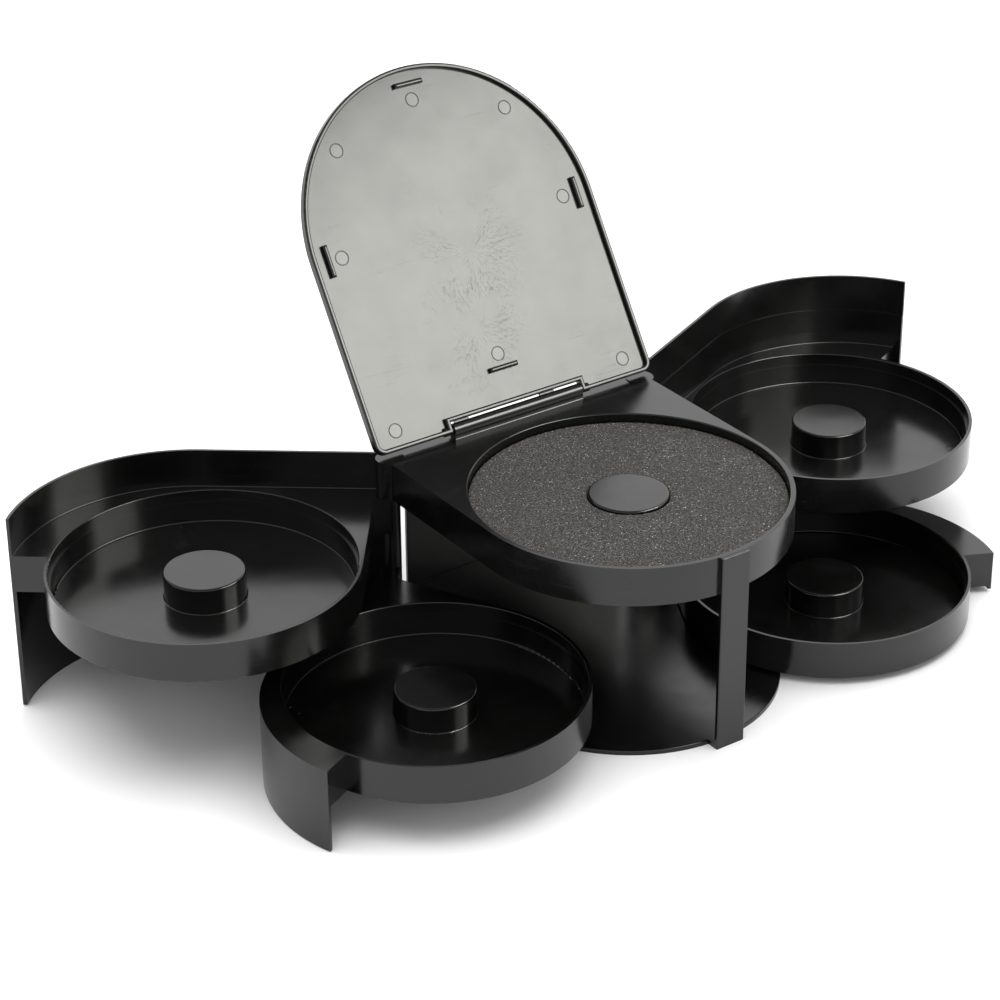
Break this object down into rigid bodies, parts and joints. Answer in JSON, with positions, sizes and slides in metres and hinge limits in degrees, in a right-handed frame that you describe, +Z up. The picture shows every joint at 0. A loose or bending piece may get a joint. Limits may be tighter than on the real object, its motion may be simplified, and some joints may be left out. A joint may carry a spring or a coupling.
{
  "type": "tool storage caddy",
  "caption": "round-fronted tower of plastic parts trays that swing out on rear rods, with a foam-lined top tray under a hinged lid",
  "frame": {"origin": "on the floor, at the centre of the tower's round front", "axes": "+Z is up, +Y points to the straight back, +X to the right seen from the front"},
  "size_m": [0.4805, 0.2529, 0.2359],
  "materials": {
    "frame_plastic": "satin black",
    "tray_plastic": "glossy black",
    "lid_plastic": "satin black",
    "foam": "open-cell foam, matt",
    "rod_steel": "drawn"
  },
  "bodies": {
    "frame": {"base_plate": "frame_plastic", "back_wall": "frame_plastic", "front_post": "frame_plastic", "top_tray": "frame_plastic", "foam_pad": "foam", "left_hinge_rod": "rod_steel", "right_hinge_rod": "rod_steel", "lid_hinge_pin": "rod_steel"},
    "lid": {"lid": "lid_plastic"},
    "upper_left": {"upper_left_tray": "tray_plastic"},
    "upper_right": {"upper_right_tray": "tray_plastic"},
    "lower_left": {"lower_left_tray": "tray_plastic"},
    "lower_right": {"lower_right_tray": "tray_plastic"}
  },
  "joints": [
    {"name": "lid_hinge", "type": "hinge", "parent": "frame", "child": "lid", "pos_m": [0, 0.0843, 0.0973], "axis": [-1, 0, 0], "range_deg": [-123.3, 0]},
    {"name": "upper_left_swing", "type": "hinge", "parent": "frame", "child": "upper_left", "pos_m": [-0.0698, 0.0833, 0.05], "axis": [0, 0, -1], "range_deg": [-127.6, 4]},
    {"name": "upper_right_swing", "type": "hinge", "parent": "frame", "child": "upper_right", "pos_m": [0.0698, 0.0833, 0.05], "axis": [0, 0, 1], "range_deg": [-115, 16]},
    {"name": "lower_left_swing", "type": "hinge", "parent": "frame", "child": "lower_left", "pos_m": [-0.0698, 0.0833, 0.02], "axis": [0, 0, -1], "range_deg": [-63.7, 2.1]},
    {"name": "lower_right_swing", "type": "hinge", "parent": "frame", "child": "lower_right", "pos_m": [0.0698, 0.0833, 0.02], "axis": [0, 0, 1], "range_deg": [-62.8, 9]}
  ],
  "couplings": [
    {"joint": "lower_left_swing", "follows": "upper_left_swing", "ratio": 0.49875},
    {"joint": "lower_right_swing", "follows": "upper_right_swing", "ratio": 0.54522}
  ]
}
